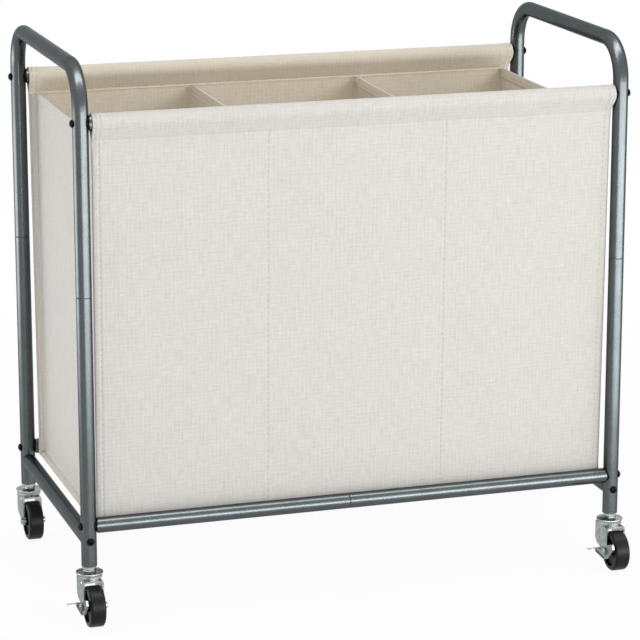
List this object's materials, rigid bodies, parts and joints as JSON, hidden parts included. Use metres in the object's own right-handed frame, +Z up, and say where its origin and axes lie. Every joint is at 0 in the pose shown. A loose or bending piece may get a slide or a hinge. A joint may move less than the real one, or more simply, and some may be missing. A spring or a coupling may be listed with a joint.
{
  "type": "laundry sorter",
  "caption": "Rolling laundry sorter: a bent-tube frame with hand bars carries a divided fabric bag on swivel casters, the front ones with side brakes.",
  "frame": {"origin": "on the floor, below the middle of the four posts", "axes": "+X to the right along the long side, +Y towards the back, +Z up"},
  "size_m": [0.8375, 0.4742, 0.7884],
  "materials": {
    "frame_paint": "satin blue-grey powder coat with a faint metallic flake",
    "saddle_plastic": "moulded black plastic",
    "bolt_black": "black oxide, slightly glossy",
    "zinc_steel": "bright zinc plate on pressed steel",
    "wheel_plastic": "moulded black plastic with a soft sheen",
    "bag_fabric": "cream linen-look woven polyester"
  },
  "bodies": {
    "frame": {"handle_left": "frame_paint", "side_rail_left": "frame_paint", "front_top_rod_left": "frame_paint", "front_bottom_rail_left": "frame_paint", "back_top_rod_left": "frame_paint", "back_bottom_rail_left": "frame_paint", "handle_right": "frame_paint", "side_rail_right": "frame_paint", "front_top_rod_right": "frame_paint", "front_bottom_rail_right": "frame_paint", "back_top_rod_right": "frame_paint", "back_bottom_rail_right": "frame_paint", "post_front_left": "frame_paint", "saddles_front_left": "saddle_plastic", "bolts_front_left": "bolt_black", "post_front_right": "frame_paint", "saddles_front_right": "saddle_plastic", "bolts_front_right": "bolt_black", "post_back_left": "frame_paint", "saddles_back_left": "saddle_plastic", "bolts_back_left": "bolt_black", "post_back_right": "frame_paint", "saddles_back_right": "saddle_plastic", "bolts_back_right": "bolt_black", "rail_end_plugs": "zinc_steel", "caster_socket_front_left": "zinc_steel", "caster_stem_front_left": "zinc_steel", "caster_socket_front_right": "zinc_steel", "caster_stem_front_right": "zinc_steel", "caster_socket_back_left": "zinc_steel", "caster_stem_back_left": "zinc_steel", "caster_socket_back_right": "zinc_steel", "caster_stem_back_right": "zinc_steel", "swivel_balls": "zinc_steel", "bag_front_sleeve": "bag_fabric", "bag_front_panel": "bag_fabric", "bag_back_sleeve": "bag_fabric", "bag_back_panel": "bag_fabric", "bag_left_side": "bag_fabric", "bag_divider_left": "bag_fabric", "bag_right_side": "bag_fabric", "bag_divider_right": "bag_fabric", "bag_floor": "bag_fabric"},
    "caster_front_left": {"caster_fork_front_left": "zinc_steel", "caster_axle_front_left": "zinc_steel"},
    "wheel_front_left": {"caster_wheel_front_left": "wheel_plastic"},
    "brake_front_left": {"brake_lever_front_left": "zinc_steel"},
    "caster_front_right": {"caster_fork_front_right": "zinc_steel", "caster_axle_front_right": "zinc_steel"},
    "wheel_front_right": {"caster_wheel_front_right": "wheel_plastic"},
    "brake_front_right": {"brake_lever_front_right": "zinc_steel"},
    "caster_back_left": {"caster_fork_back_left": "zinc_steel", "caster_axle_back_left": "zinc_steel"},
    "wheel_back_left": {"caster_wheel_back_left": "wheel_plastic"},
    "caster_back_right": {"caster_fork_back_right": "zinc_steel", "caster_axle_back_right": "zinc_steel"},
    "wheel_back_right": {"caster_wheel_back_right": "wheel_plastic"}
  },
  "joints": [
    {"name": "swivel_front_left", "type": "hinge", "parent": "frame", "child": "caster_front_left", "pos_m": [-0.393, -0.2, 0.0673], "axis": [0, 0, 1], "continuous": true},
    {"name": "spin_front_left", "type": "hinge", "parent": "caster_front_left", "child": "wheel_front_left", "pos_m": [-0.393, -0.226, 0.029], "axis": [1, 0, 0], "continuous": true},
    {"name": "brake_front_left", "type": "hinge", "parent": "caster_front_left", "child": "brake_front_left", "pos_m": [-0.393, -0.226, 0.029], "axis": [1, 0, 0], "range_deg": [0, 25]},
    {"name": "swivel_front_right", "type": "hinge", "parent": "frame", "child": "caster_front_right", "pos_m": [0.393, -0.2, 0.0673], "axis": [0, 0, 1], "continuous": true},
    {"name": "spin_front_right", "type": "hinge", "parent": "caster_front_right", "child": "wheel_front_right", "pos_m": [0.393, -0.226, 0.029], "axis": [1, 0, 0], "continuous": true},
    {"name": "brake_front_right", "type": "hinge", "parent": "caster_front_right", "child": "brake_front_right", "pos_m": [0.393, -0.226, 0.029], "axis": [1, 0, 0], "range_deg": [0, 25]},
    {"name": "swivel_back_left", "type": "hinge", "parent": "frame", "child": "caster_back_left", "pos_m": [-0.393, 0.2, 0.0673], "axis": [0, 0, 1], "continuous": true},
    {"name": "spin_back_left", "type": "hinge", "parent": "caster_back_left", "child": "wheel_back_left", "pos_m": [-0.393, 0.174, 0.029], "axis": [1, 0, 0], "continuous": true},
    {"name": "swivel_back_right", "type": "hinge", "parent": "frame", "child": "caster_back_right", "pos_m": [0.393, 0.2, 0.0673], "axis": [0, 0, 1], "continuous": true},
    {"name": "spin_back_right", "type": "hinge", "parent": "caster_back_right", "child": "wheel_back_right", "pos_m": [0.393, 0.174, 0.029], "axis": [1, 0, 0], "continuous": true}
  ]
}
